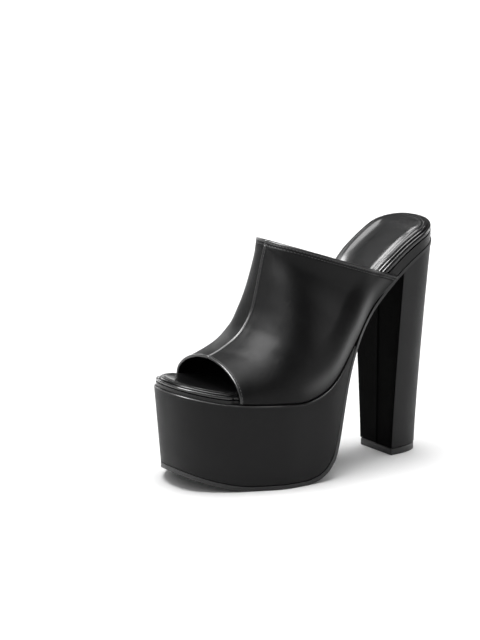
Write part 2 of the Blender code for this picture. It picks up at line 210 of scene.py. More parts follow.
def sole_over(extra):
    """Height of the line one outsole thickness, and a bit extra, over the underside."""
    places = np.linspace(0, 1, 601)
    ys = y_at(places)
    zs = sole_bottom(places)
    run_y = np.gradient(ys)
    run_z = np.gradient(zs)
    length = np.hypot(run_y, run_z)
    under_ball = ease((places - SHANK_END) / TREAD_RAMP)
    thick = OUTSOLE_SHANK + (OUTSOLE_TREAD - OUTSOLE_SHANK) * under_ball + extra
    over_y = ys + thick * run_z / length
    over_z = zs - thick * run_y / length
    order = np.argsort(over_y)
    return lambda along: np.interp(y_at(along), over_y[order], over_z[order])


def stations(count):
    """Stations along the sole, closer together where its outline or its underside turns."""
    turns = np.linspace(0, math.pi, 4000)
    heights = sole_bottom((1 - np.cos(turns)) / 2)
    weight = np.abs(np.gradient(turns)) + np.abs(np.gradient(heights)) * STEEP_WEIGHT
    measure = np.cumsum(weight)
    return np.interp(np.linspace(measure[0], measure[-1], count), measure, turns)


def mesh_piece(name, points, faces, material, angle=35, polish=None):
    """Makes one closed piece from points in the shoe's own axes, and hangs it on the shoe.

    polish gives each point's finish, where it isn't the same all over the piece:
    0 dull, with painted shade that darkens the colour, 1 plain, 2 burnished.
    """
    mesh = bpy.data.meshes.new(name)
    mesh.from_pydata((np.asarray(points) + SHIFT).tolist(), [], faces)
    if polish is not None:
        attribute = mesh.attributes.new("polish", "FLOAT", "POINT")
        attribute.data.foreach_set("value", np.asarray(polish, np.float32))
    bm = bmesh.new()
    bm.from_mesh(mesh)
    bmesh.ops.remove_doubles(bm, verts=bm.verts, dist=WELD)
    bmesh.ops.dissolve_degenerate(bm, edges=bm.edges, dist=WELD)
    bmesh.ops.recalc_face_normals(bm, faces=bm.faces)
    bm.to_mesh(mesh)
    bm.free()
    mesh.materials.append(material)
    mesh.shade_smooth()
    mesh.set_sharp_from_angle(angle=math.radians(angle))
    piece = bpy.data.objects.new(name, mesh)
    bpy.context.scene.collection.objects.link(piece)
    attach(piece, "root")
    return piece


def ring_faces(rings, count):
    """Quads between rings that each have count points."""
    faces = []
    for r in range(rings - 1):
        for i in range(count):
            j = (i + 1) % count
            a = r * count
            b = a + count
            faces.append((a + i, a + j, b + j, b + i))
    return faces


def surface_row(start, end, shares, height, rise):
    """Points over a surface between two edges, as high as the surface and a rise over it."""
    row = []
    for share in shares:
        point = start + (end - start) * share
        point[:, 2] = height(along_at(point[:, 1])) + rise(point[:, 0], point[:, 1])
        row.append(point)
    return row


def flat(x, y):
    return 0 * x


def layer_piece(name, turns, low, high, rim, material,
                shares=(0.25, 0.5, 0.75), rise=flat, fall=flat, polish=None):
    """Layer of the sole between two heights.

    rim(place, side, height) lists its side from bottom to top as pairs of a
    share of the height and an inset. rise and fall give how far the top and the
    underside stand over their heights, at shares of the way across. polish
    gives the finish of the points of the rim, from bottom to top.
    """
    own = (1 - np.cos(turns)) / 2
    height = high(own) - low(own)
    columns = {}
    for side in (1, -1):
        columns[side] = []
        for share, inset in rim(own, side, height):
            x, y = edge(turns, side, inset)
            place = along_at(y)
            z = low(place) + share * (high(place) - low(place))
            columns[side].append(np.stack([x, y, z], axis=-1))
    ring = list(columns[1])
    ring += surface_row(columns[1][-1], columns[-1][-1], shares, high, rise)
    ring += columns[-1][::-1]
    ring += surface_row(columns[-1][0], columns[1][0], shares, low, fall)
    grid = np.stack(ring, axis=1)
    faces = ring_faces(len(turns), len(ring))
    for r in (0, len(turns) - 1):
        faces.append([r * len(ring) + i for i in range(len(ring))])
    finish = None
    if polish is not None:
        plain = np.ones(len(shares))
        finish = np.tile(np.concatenate([polish, plain, polish[::-1], plain]), len(turns))
    return mesh_piece(name, grid.reshape(-1, 3), faces, material, polish=finish)


def add_node(tree, kind, **settings):
    """Adds a node and sets its properties, and its inputs where the name starts with in_."""
    node = tree.nodes.new(kind)
    for key, value in settings.items():
        if key.startswith("in_"):
            node.inputs[key[3:]].default_value = value
        else:
            setattr(node, key, value)
    return node


def ranged(tree, source, result):
    """Adds a node that maps one range of values to another."""
    node = add_node(tree, "ShaderNodeMapRange")
    node.inputs["From Min"].default_value, node.inputs["From Max"].default_value = source
    node.inputs["To Min"].default_value, node.inputs["To Max"].default_value = result
    return node


def shade_between(tree, colour, dark, light):
    """Adds a ramp between a darker and a lighter shade of one colour, each a (place, share)."""
    ramp = add_node(tree, "ShaderNodeValToRGB")
    for element, (place, share) in zip(ramp.color_ramp.elements, (dark, light)):
        element.position = place
        element.color = (*[c * share for c in colour], 1)
    return ramp


def new_finish(name):
    """Starts a material, and gives it with its nodes, its shader and the place on the piece."""
    material = bpy.data.materials.new(name)
    material.use_nodes = True
    tree = material.node_tree
    return material, tree, tree.nodes["Principled BSDF"], add_node(tree, "ShaderNodeTexCoord")


def rubber_finish(name, colour, roughness, grain, relief):
    """Matt rubber: even colour, fine moulded grain and a few paler scuffs."""
    material, tree, shader, where = new_finish(name)
    shader.inputs["Specular IOR Level"].default_value = 0.4
    moulded = add_node(tree, "ShaderNodeTexNoise", in_Scale=grain, in_Detail=3.0)
    cloudy = add_node(tree, "ShaderNodeTexNoise", in_Scale=60.0, in_Detail=4.0)
    tint = ranged(tree, (0.0, 1.0), (roughness - 0.06, roughness + 0.08))
    shade = shade_between(tree, colour, (0.35, 0.8), (0.70, 1.25))
    bump = add_node(tree, "ShaderNodeBump", in_Strength=0.35, in_Distance=relief)
    for noise in (moulded, cloudy):
        tree.links.new(where.outputs["Object"], noise.inputs["Vector"])
    tree.links.new(cloudy.outputs["Fac"], tint.inputs["Value"])
    tree.links.new(tint.outputs["Result"], shader.inputs["Roughness"])
    tree.links.new(cloudy.outputs["Fac"], shade.inputs["Fac"])
    tree.links.new(shade.outputs["Color"], shader.inputs["Base Color"])
    tree.links.new(moulded.outputs["Fac"], bump.inputs["Height"])
    tree.links.new(bump.outputs["Normal"], shader.inputs["Normal"])
    return material


def rounded_rim(inset, radius, steps=5):
    """Side of a layer with its two edges rounded by a radius."""

    def rim(place, side, height):
        base = inset(place, side)
        low = []
        for angle in np.linspace(0, math.pi / 2, steps):
            share = radius * (1 - math.sin(angle)) / height
            low.append((share, base + radius * (1 - math.cos(math.pi / 2 - angle))))
        high = [(1 - share, across) for share, across in low[::-1]]
        return low + [(0.5 + 0 * height, base)] + high

    return rim


sole_top = sole_over(0.0)
sole_turns = stations(SOLE_STATIONS)
outsole = layer_piece(
    "outsole_sheet",
    sole_turns,
    sole_bottom,
    sole_top,
    rounded_rim(lambda place, side: tuck(place, sole_bottom(place)) - OUTSOLE_PROUD, OUTSOLE_ROUND),
    rubber_finish("sole_rubber_black", RUBBER_COLOUR, roughness=0.42, grain=2600.0, relief=0.00008),
)
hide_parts("outsole")

# PLATFORM
# A light block under the forefoot, thin where it runs out under the waist of the foot.
# Black leather is drawn smooth over its wall, and rolled in along the top edge.
PLATFORM_END = 0.395
PLATFORM_ROLL = 0.0011
PLATFORM_FOOT = 0.0003
WALL_SHARES = (0.006, 0.2, 0.4, 0.6, 0.8)
ROLL_STEPS = 7
PLATFORM_COLOUR = (0.0065, 0.0065, 0.0068)


def leather_finish(name, colour, roughness, coat, grain=0.35, pebble=1500.0, soft=0.00025,
                   specular=0.2, shine=0.28):
    """Smooth dyed leather: pores and fine grain, soft unevenness under a thin finish."""
    material, tree, shader, where = new_finish(name)
    shader.inputs["Specular IOR Level"].default_value = specular
    shader.inputs["Coat Weight"].default_value = coat
    shader.inputs["Coat Roughness"].default_value = shine
    cells = add_node(tree, "ShaderNodeTexVoronoi", feature="DISTANCE_TO_EDGE", in_Scale=pebble)
    warp = add_node(tree, "ShaderNodeTexNoise", in_Scale=420.0, in_Detail=2.0)
    bend = add_node(tree, "ShaderNodeMix", data_type="VECTOR")
    bend.inputs["Factor"].default_value = 0.004
    fine = add_node(tree, "ShaderNodeTexNoise", in_Scale=1300.0, in_Detail=4.0)
    broad = add_node(tree, "ShaderNodeTexNoise", in_Scale=38.0, in_Detail=3.0)
    edge_of_cell = add_node(tree, "ShaderNodeMapRange")
    edge_of_cell.inputs["From Max"].default_value = 0.12
    mixed = add_node(tree, "ShaderNodeMath", operation="MULTIPLY_ADD")
    mixed.inputs[1].default_value = 0.9
    skin = add_node(tree, "ShaderNodeBump", in_Strength=grain, in_Distance=0.00012)
    wavy = add_node(tree, "ShaderNodeBump", in_Strength=0.5, in_Distance=soft)
    gloss = ranged(tree, (0.3, 0.7), (roughness - 0.05, roughness + 0.06))
    dye = shade_between(tree, colour, (0.3, 0.85), (0.75, 1.2))
    link = tree.links.new
    for noise in (warp, fine, broad):
        link(where.outputs["Object"], noise.inputs["Vector"])
    link(where.outputs["Object"], bend.inputs["A"])
    link(warp.outputs["Color"], bend.inputs["B"])
    link(bend.outputs["Result"], cells.inputs["Vector"])
    link(cells.outputs["Distance"], edge_of_cell.inputs["Value"])
    link(fine.outputs["Fac"], mixed.inputs[0])
    link(edge_of_cell.outputs["Result"], mixed.inputs[2])
    link(broad.outputs["Fac"], wavy.inputs["Height"])
    link(wavy.outputs["Normal"], skin.inputs["Normal"])
    link(mixed.outputs["Value"], skin.inputs["Height"])
    link(skin.outputs["Normal"], shader.inputs["Normal"])
    link(broad.outputs["Fac"], gloss.inputs["Value"])
    link(gloss.outputs["Result"], shader.inputs["Roughness"])
    link(broad.outputs["Fac"], dye.inputs["Fac"])
    link(dye.outputs["Color"], shader.inputs["Base Color"])
    return material


def burnish(material):
    """Lets the finish of a leather grow to a full polish where the piece's polish goes from 1 to 2."""
    tree = material.node_tree
    shader = tree.nodes["Principled BSDF"]
    polish = add_node(tree, "ShaderNodeAttribute", attribute_name="polish")
    coating = ranged(tree, (1.0, 2.0), (shader.inputs["Coat Weight"].default_value, 1.0))
    tree.links.new(polish.outputs["Fac"], coating.inputs["Value"])
    tree.links.new(coating.outputs["Result"], shader.inputs["Coat Weight"])
    return material


def platform_rim(place, side, height):
    """Wall of the platform: square at the outsole, rolled in over its top edge."""
    low = sole_low(place)

    def lean(share):
        return tuck(place, low + share * height)

    pairs = [(0 * height, lean(0) + PLATFORM_FOOT)]
    for share in WALL_SHARES:
        pairs.append((share + 0 * height, lean(share)))
    for angle in np.linspace(0, math.pi / 2, ROLL_STEPS):
        share = 1 - PLATFORM_ROLL * (1 - math.sin(angle)) / height
        pairs.append((share, lean(share) + PLATFORM_ROLL * (1 - math.cos(angle))))
    return pairs


sole_low = sole_over(GAP)
platform = layer_piece(
    "platform_cover",
    sole_turns[sole_turns >= math.acos(1 - 2 * PLATFORM_END)],
    sole_low,
    feather,
    platform_rim,
    burnish(leather_finish(
        "platform_leather_black", PLATFORM_COLOUR, roughness=0.48, coat=0.03,
        grain=0.4, pebble=1300.0, soft=0.0004, specular=0.14,
    )),
    polish=[1] * (2 + len(WALL_SHARES)) + [2] * (ROLL_STEPS - 1),
)
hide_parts("platform")

# FOOTBED
# The stiff board that carries the foot from the seat to the toe, bound in glossy leather.
# Its bound edge shows as the lower band round the heel seat.
FOOTBED_SEAT = 0.0062
FOOTBED_TOE = 0.0023
FOOTBED_ROUND = 0.0007
UPPER_WALL = 0.0020
UPPER_CLEAR = 0.0005
RIM_INSET = 0.0002
PLATFORM_LEDGE = 0.0011
LEDGE_START = 0.35
LEDGE_RAMP = 0.15
THIN_START = 0.2
THIN_RAMP = 0.3
UPPER = {
    "row": [0, 1, 2, 3, 4, 5, 6, 7],
    "feather": [0.840, 0.780, 0.700, 0.610, 0.500, 0.400, 0.300, 0.200],
    "crest": [0.845, 0.790, 0.735, 0.694, 0.6745, 0.661, 0.649, 0.635],
    "height": [0.266, 0.315, 0.397, 0.525, 0.660, 0.785, 0.890, 1.000],
    "power": [1.90, 2.00, 2.30, 2.90, 3.60, 4.40, 5.40, 6.50],
    "full": [0.05, 0.05, 0.05, 0.04, 0.03, 0.02, 0.01, 0.00],
}
INNER_FRONT_SHIFT = 0.013
UPPER_BACK_RAMP = 0.100
UPPER_FRONT_RAMP = 0.020
UPPER_FRONT_CLEAR = 0.012
BAND_COLOUR = (0.004, 0.004, 0.0042)


def under_upper(along, side):
    """How far the footbed stands in from the outline: more where the upper passes outside it."""
    front = UPPER["feather"][0] - np.where(side < 0, INNER_FRONT_SHIFT, 0)
    back = UPPER["feather"][-1]
    behind = ease((along - back) / UPPER_BACK_RAMP)
    before = ease((front + UPPER_FRONT_CLEAR - along) / UPPER_FRONT_RAMP + 1)
    ledge = PLATFORM_LEDGE * ease((along - LEDGE_START) / LEDGE_RAMP)
    return RIM_INSET + ledge + (UPPER_WALL + UPPER_CLEAR) * behind * before


def between(seat, toe, along):
    """Thickness that eases from its value at the seat to its value under the toes."""
    return seat + (toe - seat) * ease((along - THIN_START) / THIN_RAMP)


def footbed_low(along):
    return feather(along) + lift(along, GAP)


def footbed_high(along):
    return footbed_low(along) + lift(along, between(FOOTBED_SEAT, FOOTBED_TOE, along))


def insole_low(along):
    return footbed_high(along) + lift(along, GAP)


footbed = layer_piece(
    "footbed_board",
    sole_turns,
    footbed_low,
    footbed_high,
    rounded_rim(under_upper, FOOTBED_ROUND, 6),
    leather_finish("band_leather_black", BAND_COLOUR, roughness=0.36, coat=0.15, grain=0.25),
)
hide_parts("footbed")

# INSOLE
# A thinner board wrapped in the same leather, whose full round edge is the bright bead
# that runs round the seat and shows again at the toe. It is glued on the footbed.
INSOLE_SEAT = 0.0036
INSOLE_TOE = 0.0024
BEAD_DEPTH = 0.0011
BEAD_STEPS = 13
SEAT_DISH = 0.0023
DISH_START = 0.03
DISH_RAMP = 0.08
DISH_END = 0.62
DISH_FADE = 0.25
DISH_MARGIN = 0.0085
DISH_SLOPE = 0.0110
INSOLE_COLOUR = (0.004, 0.004, 0.0042)
outline_turns = np.linspace(0, math.pi, 500)
outline_x, outline_y = np.concatenate([edge(outline_turns, 1, 0), edge(outline_turns, -1, 0)], axis=1)


def insole_high(along):
    return insole_low(along) + lift(along, between(INSOLE_SEAT, INSOLE_TOE, along))


def inside_edge(x, y):
    """Distance of points from the visible edge of the footbed and the insole, from above."""
    place = along_at(y)
    nearest = np.hypot(x[:, None] - outline_x, y[:, None] - outline_y).min(axis=1)
    return nearest - under_upper(place, np.where(x > centre(place), 1, -1))


def dish(x, y):
    """Hollow that cups the heel of the foot, and runs out towards the ball."""
    place = along_at(y)
    depth = SEAT_DISH * ease((place - DISH_START) / DISH_RAMP) * ease((DISH_END - place) / DISH_FADE)
    reach = np.clip((inside_edge(x, y) - DISH_MARGIN) / DISH_SLOPE, 0, 1)
    return -lift(place, depth * (1 - (1 - reach) ** 2))


def bead_rim(place, side, height):
    """Full round edge of the insole, from its underside to its top."""
    pairs = []
    for angle in np.linspace(-math.pi / 2, math.pi / 2, BEAD_STEPS):
        inset = under_upper(place, side) + BEAD_DEPTH * (1 - math.cos(angle))
        pairs.append((0.5 + 0.5 * math.sin(angle) + 0 * height, inset))
    return pairs


insole = layer_piece(
    "insole_board",
    sole_turns,
    insole_low,
    insole_high,
    bead_rim,
    leather_finish("insole_leather_black", INSOLE_COLOUR, roughness=0.30, coat=0.85, grain=0.2, shine=0.14),
    shares=np.linspace(0.02, 0.98, 45),
    rise=dish,
)
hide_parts("insole")

# SOCK
# The lining that the foot rests on: one piece of thin glossy leather over foam.
# It is glued on the insole, which is hollowed under the heel. Its flat margin is stitched
# down all round, and inside the stitches the foam swells a little before it falls away.
SOCK_EDGE = 0.0009
SOCK_SKIVE = {"share": (0.0, 0.4, 0.7, 0.9, 1.0), "inset": (0.0, 0.0, 0.0002, 0.0005, 0.0010)}
SOCK_INSET = 0.0024
SOCK_MARGIN = 0.0030
MARGIN_SWELL = 0.0005
SOCK_SWELL = 0.0004
GROOVE_DEPTH = 0.0003
GROOVE_WIDTH = 0.0005
SWELL_START = 0.0012
SWELL_WIDTH = 0.0012
SOCK_COLOUR = (0.0045, 0.0045, 0.0048)


def sock_low(along):
    return insole_high(along) + lift(along, GAP)


def sock_high(along):
    return sock_low(along) + lift(along, SOCK_EDGE)


def sock_rim(place, side, height):
    """Skived edge of the sock, thin where it is cut."""
    edge_inset = under_upper(place, side) + SOCK_INSET
    return [(share + 0 * height, edge_inset + inset) for share, inset in zip(*SOCK_SKIVE.values())]


def sock_rise(x, y):
    """Rise of the sock: flat margin, groove of the stitches, swell of the foam and the dish."""
    place = along_at(y)
    inner = inside_edge(x, y) - SOCK_INSET - SOCK_MARGIN
    groove = -GROOVE_DEPTH * np.exp(-(inner / GROOVE_WIDTH) ** 2)
    swell = SOCK_SWELL * np.exp(-((inner - SWELL_START) / SWELL_WIDTH) ** 2)
    margin = MARGIN_SWELL * ease((inner + SOCK_MARGIN) / SOCK_MARGIN * 2)
    return lift(place, groove + swell + margin) + dish(x, y)


sock_shares = np.concatenate([
    np.linspace(0.004, 0.12, 26),
    np.linspace(0.13, 0.87, 45),
    np.linspace(0.88, 0.996, 26),
])
sock = layer_piece(
    "sock_pad",
    sole_turns,
    sock_low,
    sock_high,
    sock_rim,
    burnish(leather_finish(
        "sock_leather_black", SOCK_COLOUR, roughness=0.34, coat=0.70,
        grain=0.25, pebble=1700.0, soft=0.0002, specular=0.1, shine=0.16,
    )),
    shares=sock_shares,
    rise=sock_rise,
    fall=dish,
    polish=[1, 2, 2, 2, 1],
)
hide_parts("sock")

# Stitches that hold the sock down, sunk in their groove
STITCH_PITCH = 0.0024
STITCH_LENGTH = 0.0019
STITCH_WIDTH = 0.00052
STITCH_RAISE = 0.0001
STITCH_FLAT = 0.8
STITCH_LEAST = (0.92, 0.9, 0.9)
STITCH_MOST = (1.04, 1.1, 1.1)
ROW_START = 0.07
THREAD_COLOUR = (0.040, 0.040, 0.041)


def thread_finish():
    """Waxed polyester thread, matt, with the twist of its strands."""
    material, tree, shader, where = new_finish("thread_black")
    shader.inputs["Base Color"].default_value = (*THREAD_COLOUR, 1)
    shader.inputs["Roughness"].default_value = 0.5
    twist = add_node(tree, "ShaderNodeTexWave", in_Scale=900.0, in_Distortion=1.5)
    bump = add_node(tree, "ShaderNodeBump", in_Strength=0.4, in_Distance=0.00005)
    tree.links.new(where.outputs["Object"], twist.inputs["Vector"])
    tree.links.new(twist.outputs["Fac"], bump.inputs["Height"])
    tree.links.new(bump.outputs["Normal"], shader.inputs["Normal"])
    return material


def stitch_tree():
    """Geometry nodes that lay stitches along the edges of a mesh, flat on the leather below."""
    tree = bpy.data.node_groups.new("stitch_row", "GeometryNodeTree")
    tree.is_modifier = True
    sockets = {}
    tree.interface.new_socket("Line", in_out="INPUT", socket_type="NodeSocketGeometry")
    for name in ("Pitch", "Length", "Width"):
        socket = tree.interface.new_socket(name, in_out="INPUT", socket_type="NodeSocketFloat")
        sockets[name] = socket.identifier
    socket = tree.interface.new_socket("Thread", in_out="INPUT", socket_type="NodeSocketMaterial")
    sockets["Thread"] = socket.identifier
    tree.interface.new_socket("Stitches", in_out="OUTPUT", socket_type="NodeSocketGeometry")
    source = add_node(tree, "NodeGroupInput")
    result = add_node(tree, "NodeGroupOutput")
    line = add_node(tree, "GeometryNodeMeshToCurve")
    even = add_node(tree, "GeometryNodeResampleCurve", mode="LENGTH")
    stitch = add_node(tree, "GeometryNodeMeshUVSphere", in_Segments=8, in_Rings=6, in_Radius=0.5)
    soft = add_node(tree, "GeometryNodeSetShadeSmooth")
    size = add_node(tree, "ShaderNodeCombineXYZ")
    pressed = add_node(tree, "ShaderNodeMath", operation="MULTIPLY")
    pressed.inputs[1].default_value = STITCH_FLAT
    uneven = add_node(tree, "FunctionNodeRandomValue", data_type="FLOAT_VECTOR")
    uneven.inputs["Min"].default_value = STITCH_LEAST
    uneven.inputs["Max"].default_value = STITCH_MOST
    uneven.inputs["Seed"].default_value = 4
    scaled = add_node(tree, "ShaderNodeVectorMath", operation="MULTIPLY")
    up = add_node(tree, "GeometryNodeInputNamedAttribute", data_type="FLOAT_VECTOR", in_Name="up")
    along = add_node(tree, "GeometryNodeInputTangent")
    stand = add_node(tree, "FunctionNodeAlignRotationToVector", axis="Z")
    face = add_node(tree, "FunctionNodeAlignRotationToVector", axis="X", pivot_axis="Z")
    lay = add_node(tree, "GeometryNodeInstanceOnPoints")
    real = add_node(tree, "GeometryNodeRealizeInstances")
    dye = add_node(tree, "GeometryNodeSetMaterial")
    link = tree.links.new
    link(source.outputs["Line"], line.inputs["Mesh"])
    link(line.outputs["Curve"], even.inputs["Curve"])
    link(source.outputs["Pitch"], even.inputs["Length"])
    link(even.outputs["Curve"], lay.inputs["Points"])
    link(stitch.outputs["Mesh"], soft.inputs["Geometry"])
    link(soft.outputs["Geometry"], lay.inputs["Instance"])
    link(source.outputs["Length"], size.inputs["X"])
    link(source.outputs["Width"], size.inputs["Y"])
    link(source.outputs["Width"], pressed.inputs[0])
    link(pressed.outputs["Value"], size.inputs["Z"])
    link(size.outputs["Vector"], scaled.inputs[0])
    link(uneven.outputs["Value"], scaled.inputs[1])
    link(scaled.outputs["Vector"], lay.inputs["Scale"])
    link(up.outputs["Attribute"], stand.inputs["Vector"])
    link(stand.outputs["Rotation"], face.inputs["Rotation"])
    link(along.outputs["Tangent"], face.inputs["Vector"])
    link(face.outputs["Rotation"], lay.inputs["Rotation"])
    link(lay.outputs["Instances"], real.inputs["Geometry"])
    link(real.outputs["Geometry"], dye.inputs["Geometry"])
    link(source.outputs["Thread"], dye.inputs["Material"])
    link(dye.outputs["Geometry"], result.inputs["Stitches"])
    return tree, sockets


def sew(name, lines):
    """Sews rows of stitches along lines, each a list of points with the leather's normals."""
    points = []
    ups = []
    edges = []
    for line, normals in lines:
        first = len(points)
        points += (np.asarray(line) + SHIFT).tolist()
        ups += np.asarray(normals).tolist()
        edges += [(i, i + 1) for i in range(first, len(points) - 1)]
    path = bpy.data.meshes.new(name + "_line")
    path.from_pydata(points, edges, [])
    attribute = path.attributes.new("up", "FLOAT_VECTOR", "POINT")
    attribute.data.foreach_set("vector", np.array(ups, np.float32).ravel())
    row = bpy.data.objects.new(name, path)
    bpy.context.scene.collection.objects.link(row)
    modifier = row.modifiers.new("stitches", "NODES")
    modifier.node_group = STITCHES
    modifier[STITCH_SOCKETS["Pitch"]] = STITCH_PITCH
    modifier[STITCH_SOCKETS["Length"]] = STITCH_LENGTH
    modifier[STITCH_SOCKETS["Width"]] = STITCH_WIDTH
    modifier[STITCH_SOCKETS["Thread"]] = THREAD
    bpy.context.view_layer.update()
    made = bpy.data.meshes.new_from_object(row.evaluated_get(bpy.context.evaluated_depsgraph_get()))
    made.materials.clear()
    made.materials.append(THREAD)
    made.polygons.foreach_set("material_index", [0] * len(made.polygons))
    row.modifiers.remove(modifier)
    row.data = made
    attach(row, "root")
    return row


THREAD = thread_finish()
STITCHES, STITCH_SOCKETS = stitch_tree()


def sock_stitch_line():
    """Line of the sock's stitches, in the groove inside its margin."""
    line = []
    normals = []
    for side, order in ((1, 1), (-1, -1)):
        turns = np.linspace(ROW_START, math.pi - ROW_START, 500)[::order]
        own = (1 - np.cos(turns)) / 2
        x, y = edge(turns, side, under_upper(own, side) + SOCK_INSET + SOCK_MARGIN)
        place = along_at(y)
        z = sock_high(place) + lift(place, MARGIN_SWELL + STITCH_RAISE - GROOVE_DEPTH)
        ahead = np.clip(place + SLOPE_REACH, 0, 1)
        behind = np.clip(place - SLOPE_REACH, 0, 1)
        slope = sock_high(ahead) - sock_high(behind)
        run = SHOE_LENGTH * 2 * SLOPE_REACH
        line += np.stack([x, y, z], axis=-1).tolist()
        normal = np.stack([0 * x, slope, run + 0 * x], axis=-1)
        normals += (normal / np.linalg.norm(normal, axis=-1, keepdims=True)).tolist()
    line.append(line[0])
    normals.append(normals[0])
    return line, normals


sew("sock_stitches", [sock_stitch_line()])

# UPPER
# Two halves of smooth black calf, lined, drawn over the last and held under the insole.
# The outer half laps over the inner one on a seam down the middle of the instep.
# Toe opening and topline are folded edges, and each has its own rows of stitches.
INSTEP_HEIGHT = 0.1618
SEAM_SWING = 0.7
SEAM_LAP = 0.0006
SEAM_SKIVE = 0.0080
CLOSE_HEIGHT = 0.012
FREE_HEIGHT = 0.025
UPPER_ROWS = 120
UPPER_COLUMNS = 110
SHEET_ROWS = 84
SHEET_COLUMNS = 80
SECTION_UPRIGHT = 1.5
FOLD_RADIUS = 0.0010
FOLD_STEPS = 9
FOLD_PUFF = 0.0003
FOLD_PUFF_WIDTH = 0.0011
ROW_SINK = 0.00026
ROW_SINK_WIDTH = 0.00045
TOPLINE_ROWS = (0.0019, 0.0037)
TOE_ROW = 0.0019
SEAM_ROW = 0.0019
SEAM_BEAD = 0.00025
SEAM_BEAD_PLACE = 0.0007
SEAM_FOLD = 0.0005
SEAM_FOLD_FOOT = 0.15
UNDER_TUCK = 0.0009
UNDER_HEIGHT = 0.0018
WALL_CLOSE = 0.0007
WALL_CLOSE_HEIGHT = 0.0100
BURNISH_WIDTH = 0.0009
WAIST_SHINE = 0.85
WAIST_SHINE_HEIGHT = 0.009
WAIST_SHINE_WIDTH = 0.006
WAIST_SHINE_END = 0.66
WAIST_SHINE_FADE = 0.12
UPPER_COLOUR = (0.0042, 0.0042, 0.0044)
CREASE_FADE = 0.010
# Creases by their distances from the seam and from the toe opening, where they start and end
CREASES = [
    {"start": (0.003, 0.031), "end": (0.034, 0.040), "width": 0.0036, "rise": -0.00030},
    {"start": (0.003, 0.040), "end": (0.030, 0.050), "width": 0.0046, "rise": 0.00020},
    {"start": (0.006, 0.010), "end": (0.030, 0.017), "width": 0.0035, "rise": -0.00025},
    {"start": (0.040, 0.034), "end": (0.058, 0.046), "width": 0.0035, "rise": -0.00022},
]

upper_feather = curve(UPPER, "feather", "row")
upper_crest = curve(UPPER, "crest", "row")
upper_height = curve(UPPER, "height", "row")
upper_power = curve(UPPER, "power", "row")
upper_full = curve(UPPER, "full", "row")


def section_shape(power, full, count):
    """Half a section as shares of its half width and height, evenly spaced."""
    angle = np.linspace(0, math.pi / 2, 600)
    height = np.sin(angle) ** (2 / power)
    width = np.cos(angle) * (1 + full * np.sin(math.pi * height))
    step = np.hypot(np.diff(height) * SECTION_UPRIGHT, np.diff(width))
    along = np.concatenate([[0], np.cumsum(step)])
    even = np.linspace(0, along[-1], count + 1)
    return np.interp(even, along, width), np.interp(even, along, height)


def upper_half(side):
    """Outside of one half of the upper: rows from the toe opening to the topline,
    and in each row points from the feather line to the seam."""
    rows = []
    for i in range(UPPER_ROWS + 1):
        step = i / UPPER_ROWS
        place = step * (len(UPPER["row"]) - 1)
        foot = float(upper_feather(place))
        if side < 0:
            foot -= INNER_FRONT_SHIFT * (1 - step) ** 2
        crest = float(upper_crest(place))
        turn = np.array([math.acos(1 - 2 * foot)])
        foot_x, foot_y = edge(turn, side, under_upper(foot, side) - GAP - UPPER_WALL)
        foot_z = feather(along_at(foot_y)) + lift(foot, GAP)
        crest_x = centre(crest) * SEAM_SWING
        crest_z = PLATFORM_HEIGHT + upper_height(place) * (INSTEP_HEIGHT - PLATFORM_HEIGHT)
        width, height = section_shape(upper_power(place), upper_full(place), UPPER_COLUMNS)
        y = foot_y + (y_at(crest) - foot_y) * height
        z = foot_z + (crest_z - foot_z) * height
        below = along_at(y)
        below_turn = np.arccos(1 - 2 * below)
        below_x = edge(below_turn, side, under_upper(below, side) - GAP - UPPER_WALL)[0]
        free = ease((z - feather(below) - CLOSE_HEIGHT) / FREE_HEIGHT)
        side_x = below_x + (foot_x - below_x) * free
        rows.append(np.stack([crest_x + (side_x - crest_x) * width, y, z], axis=-1))
    return np.array(rows)


def spread(low_steps, middle, high_steps, length):
    """Distances along a line: fine steps at both ends, and even ones between them."""
    low = np.asarray(low_steps)
    high = length - np.asarray(high_steps)[::-1]
    even = np.linspace(low[-1], high[0], middle + 2)[1:-1]
    return np.concatenate([low, even, high])


def resample(points, distances_of):
    """Points at given distances along a line of points."""
    step = np.linalg.norm(np.diff(points, axis=0), axis=1)
    run = np.concatenate([[0], np.cumsum(step)])
    at = distances_of(run[-1])
    return np.stack([np.interp(at, run, points[:, k]) for k in range(3)], axis=-1), at


EDGE_STEPS = (0.0010, 0.00115, 0.0013, 0.0015, 0.0017, 0.0019, 0.0021, 0.0023, 0.0026, 0.0029,
              0.0033, 0.0035, 0.0037, 0.0039, 0.0041, 0.0045, 0.0052)
FOOT_STEPS = (0.0, 0.0002, 0.0005, 0.0008, 0.0012, 0.0017, 0.0023)
SEAM_STEPS = (0.0, 0.00006, 0.00015, 0.0003, 0.0005, 0.0008, 0.0011, 0.0014, 0.0017, 0.0019,
              0.0021, 0.0024, 0.0028, 0.0034, 0.0042, 0.0055, 0.0075)


def sunk(distance, row):
    """How deep the leather is pulled down at a row of stitches."""
    return ROW_SINK * np.exp(-((distance - row) / ROW_SINK_WIDTH) ** 2)


def surface_normals(grid, side):
    """Outward normals of a half."""
    run_u = np.gradient(grid, axis=0)
    run_v = np.gradient(grid, axis=1)
    normals = np.cross(run_u, run_v) * side
    normals[:, 0, 2] = 0
    return normals / np.linalg.norm(normals, axis=2, keepdims=True)


